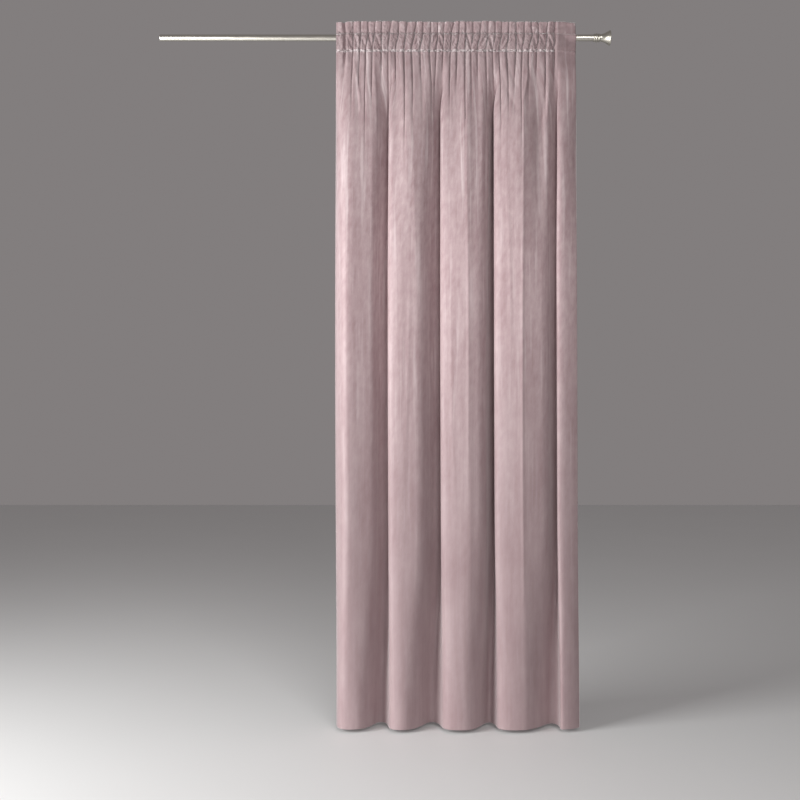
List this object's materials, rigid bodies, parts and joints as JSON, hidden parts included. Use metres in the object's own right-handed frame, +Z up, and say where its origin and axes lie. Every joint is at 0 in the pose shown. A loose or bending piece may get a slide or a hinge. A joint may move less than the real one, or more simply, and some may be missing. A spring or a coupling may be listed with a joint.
{
  "type": "blackout curtain on a curtain rod",
  "caption": "Floor-length velvet blackout curtain panel with a gathered frill heading and rod channel, hanging in soft main folds from a satin nickel rod with a trumpet finial.",
  "frame": {"origin": "on the rod's axis, at the middle of the curtain's width, where brackets hold the rod", "axes": "+Z up, +X along the rod towards the finial, -Y out of the curtain's face"},
  "size_m": [1.7223, 0.113, 2.7027],
  "materials": {
    "velvet": "old-rose short-pile velvet with a soft sheen",
    "satin_nickel": "satin nickel",
    "finial_nickel": "satin nickel, turned"
  },
  "bodies": {
    "root": {"panel": "velvet", "rod": "satin_nickel", "finial": "finial_nickel"}
  },
  "joints": []
}
